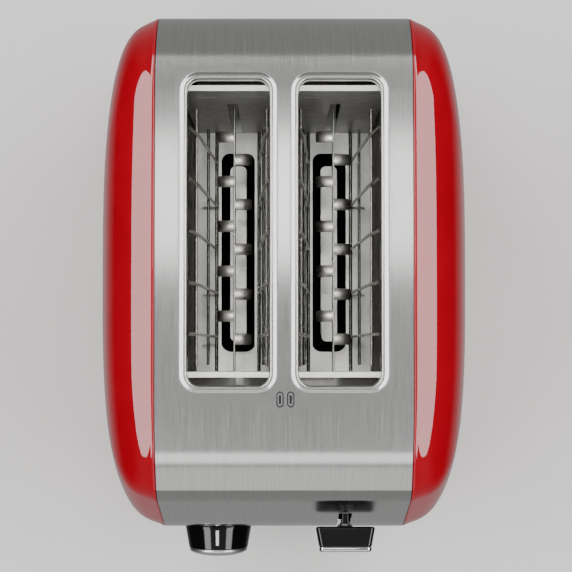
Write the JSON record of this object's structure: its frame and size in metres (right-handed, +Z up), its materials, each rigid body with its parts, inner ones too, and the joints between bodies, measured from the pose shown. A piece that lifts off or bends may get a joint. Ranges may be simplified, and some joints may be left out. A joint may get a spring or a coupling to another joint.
{
  "type": "pop up toaster",
  "caption": "Two-slot pop-up toaster: brushed steel band, domed glossy side covers, side-by-side bread slots with wire guards, a lift lever and a browning knob on the front.",
  "frame": {"origin": "under the middle of the whole object's box, on the surface it stands on", "axes": "+X to the right seen from the front, where the lever is; +Y to the rear; +Z up"},
  "size_m": [0.184, 0.2815, 0.2009],
  "materials": {
    "brushed_stainless": "brushed lengthwise, satin",
    "red_enamel": "high gloss enamel",
    "black_base": "moulded, fine texture",
    "foot_rubber": "matt",
    "chamber_steel": "bright coated sheet",
    "lifter_steel": "pressed sheet",
    "mica": "flaky mica sheet",
    "heater_ribbon": "oxidised ribbon",
    "guard_wire": "bright drawn wire",
    "polished_rod": "ground and polished",
    "screw_zinc": "zinc plated",
    "gloss_black": "polished moulding",
    "chrome_trim": "bright plated",
    "satin_silver": "spun satin",
    "white_mark": "printed line",
    "coil_copper": "enamelled winding",
    "circuit_board": "solder resist",
    "dark_component": "moulded"
  },
  "bodies": {
    "housing": {"base_pan": "black_base", "base_screws": "screw_zinc", "board_parts": "dark_component", "browning_pot": "dark_component", "button_bezel": "chrome_trim", "button_switch": "dark_component", "chamber_end_front": "chamber_steel", "chamber_end_rear": "chamber_steel", "chamber_floor": "chamber_steel", "chamber_side_left": "chamber_steel", "chamber_side_right": "chamber_steel", "control_board": "circuit_board", "cord_gland": "black_base", "floor_screws": "screw_zinc", "foot_front_left": "foot_rubber", "foot_front_right": "foot_rubber", "foot_rear_left": "foot_rubber", "foot_rear_right": "foot_rubber", "gland_nut": "black_base", "guide_bracket": "lifter_steel", "guide_rod": "polished_rod", "heater_board_left_inner": "mica", "heater_board_left_outer": "mica", "heater_board_right_inner": "mica", "heater_board_right_outer": "mica", "heater_ribbon_left_inner": "heater_ribbon", "heater_ribbon_left_outer": "heater_ribbon", "heater_ribbon_right_inner": "heater_ribbon", "heater_ribbon_right_outer": "heater_ribbon", "knob_bezel": "chrome_trim", "lift_spring": "polished_rod", "magnet_coil": "coil_copper", "magnet_core": "lifter_steel", "mains_switch": "dark_component", "side_cover_left": "red_enamel", "side_cover_right": "red_enamel", "steel_band": "brushed_stainless", "terminal_block": "dark_component"},
    "carriage": {"carriage": "lifter_steel", "bread_lifter_left": "lifter_steel", "bread_lifter_right": "lifter_steel", "lever_arm": "lifter_steel", "lever_head": "gloss_black", "lever_plate": "chrome_trim", "magnet_keeper": "lifter_steel"},
    "browning_control": {"browning_knob": "gloss_black", "browning_shaft": "polished_rod", "knob_cap": "satin_silver", "knob_pointer": "white_mark"},
    "button": {"front_button": "gloss_black"},
    "tray": {"crumb_tray": "chamber_steel", "crumb_tray_handle": "black_base"},
    "guard_left_outer": {"bread_guard_left_outer": "guard_wire"},
    "guard_left_inner": {"bread_guard_left_inner": "guard_wire"},
    "guard_right_outer": {"bread_guard_right_outer": "guard_wire"},
    "guard_right_inner": {"bread_guard_right_inner": "guard_wire"}
  },
  "joints": [
    {"name": "carriage_slide", "type": "slide", "parent": "housing", "child": "carriage", "axis": [0, -0.1219, -0.9925], "range_m": [0, 0.058], "stiffness_N_per_m": 120, "springref_m": -0.03, "deforming": ["lift_spring"]},
    {"name": "browning_turn", "type": "hinge", "parent": "housing", "child": "browning_control", "pos_m": [-0.0355, -0.13, 0.06], "axis": [0, -1, 0], "range_deg": [-135, 135]},
    {"name": "button_press", "type": "slide", "parent": "housing", "child": "button", "axis": [0, 1, 0], "range_m": [0, 0.0012], "stiffness_N_per_m": 400, "springref_m": -0.001},
    {"name": "tray_slide", "type": "slide", "parent": "housing", "child": "tray", "axis": [0, 1, 0], "range_m": [0, 0.17]},
    {"name": "guard_left_outer_lean", "type": "hinge", "parent": "housing", "child": "guard_left_outer", "pos_m": [-0.038, 0.02575, 0.0265], "axis": [0, 1, 0], "range_deg": [0, 5.01]},
    {"name": "guard_left_inner_lean", "type": "hinge", "parent": "housing", "child": "guard_left_inner", "pos_m": [-0.014, 0.02575, 0.0265], "axis": [0, -1, 0], "range_deg": [0, 5.01]},
    {"name": "guard_right_outer_lean", "type": "hinge", "parent": "housing", "child": "guard_right_outer", "pos_m": [0.038, 0.02575, 0.0265], "axis": [0, -1, 0], "range_deg": [0, 5.01]},
    {"name": "guard_right_inner_lean", "type": "hinge", "parent": "housing", "child": "guard_right_inner", "pos_m": [0.014, 0.02575, 0.0265], "axis": [0, 1, 0], "range_deg": [0, 5.01]}
  ],
  "couplings": [
    {"joint": "guard_left_outer_lean", "follows": "carriage_slide", "rad_per_m": 1.5046},
    {"joint": "guard_left_inner_lean", "follows": "carriage_slide", "rad_per_m": 1.5046},
    {"joint": "guard_right_outer_lean", "follows": "carriage_slide", "rad_per_m": 1.5046},
    {"joint": "guard_right_inner_lean", "follows": "carriage_slide", "rad_per_m": 1.5046}
  ]
}
